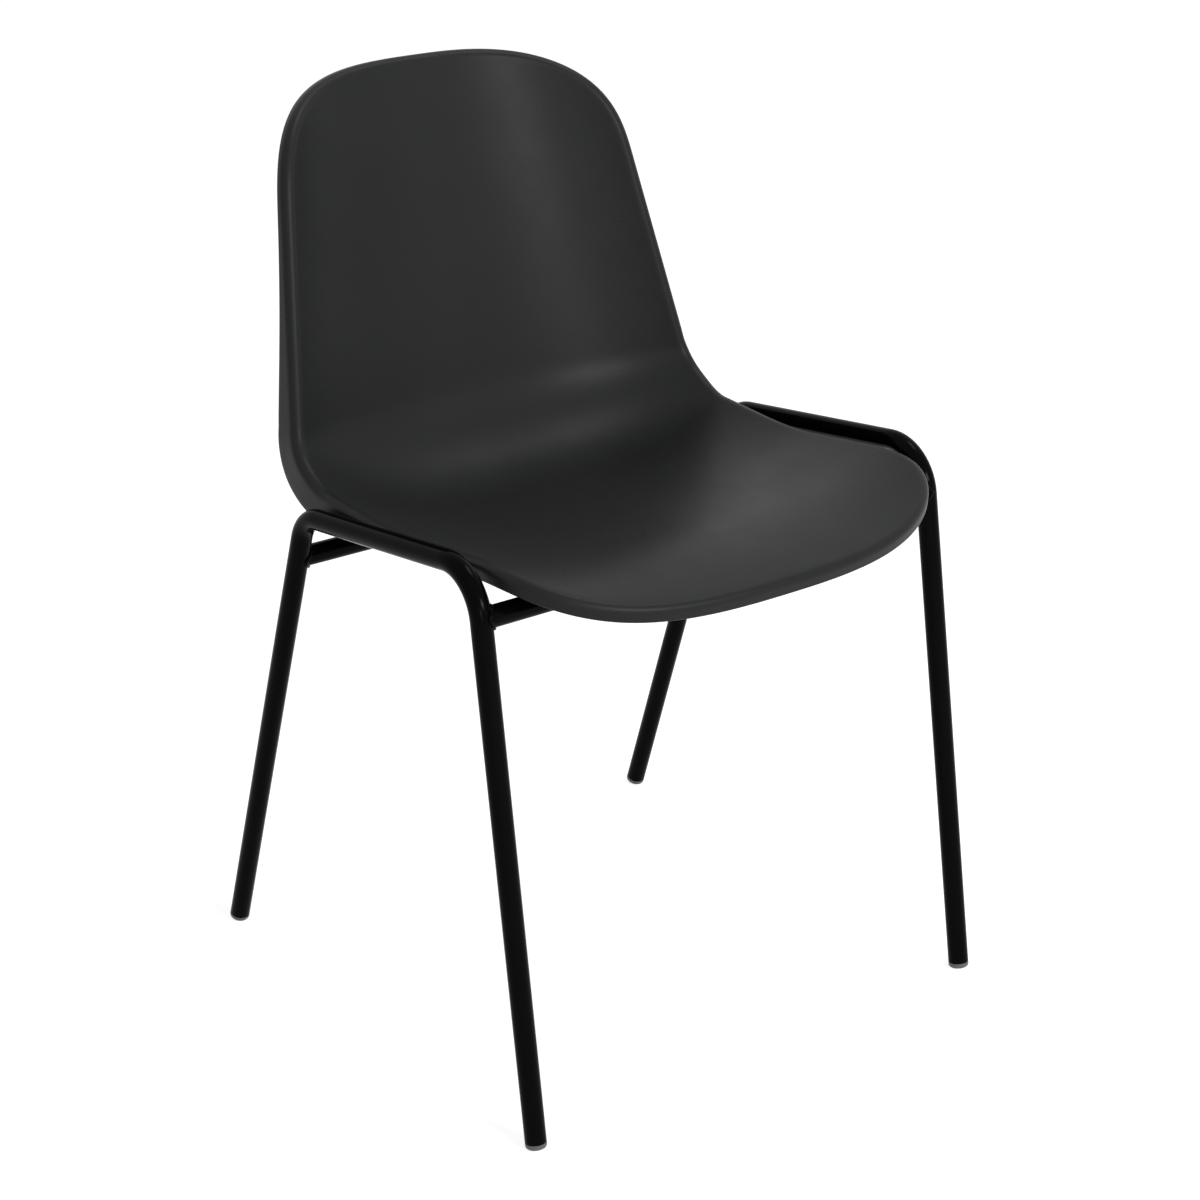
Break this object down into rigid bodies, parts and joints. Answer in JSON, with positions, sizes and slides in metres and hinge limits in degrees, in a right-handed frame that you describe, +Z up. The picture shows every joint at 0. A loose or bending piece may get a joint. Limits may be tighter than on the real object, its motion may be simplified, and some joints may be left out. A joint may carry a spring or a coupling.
{
  "type": "stacking chair",
  "caption": "Stacking chair with a moulded one-piece plastic seat and back shell, screwed to a welded frame of bent round steel tube with plastic foot plugs.",
  "frame": {"origin": "on the floor, under the middle of the chair's outline from front to back", "axes": "+Z up; -Y is the way a sitter faces; +X is the sitter's left; the plane X = 0 is the chair's middle plane"},
  "size_m": [0.4866, 0.5215, 0.7781],
  "materials": {
    "shell": "fine moulded grain, satin",
    "frame": "black powder coat, semi-gloss",
    "plug": "satin grey plastic",
    "screw": "zinc plated"
  },
  "bodies": {
    "root": {"seat_shell": "shell", "left_side_frame": "frame", "right_side_frame": "frame", "front_crossbar": "frame", "rear_crossbar": "frame", "front_left_foot_plug": "plug", "front_right_foot_plug": "plug", "rear_left_foot_plug": "plug", "rear_right_foot_plug": "plug", "shell_screws": "screw"}
  },
  "joints": []
}
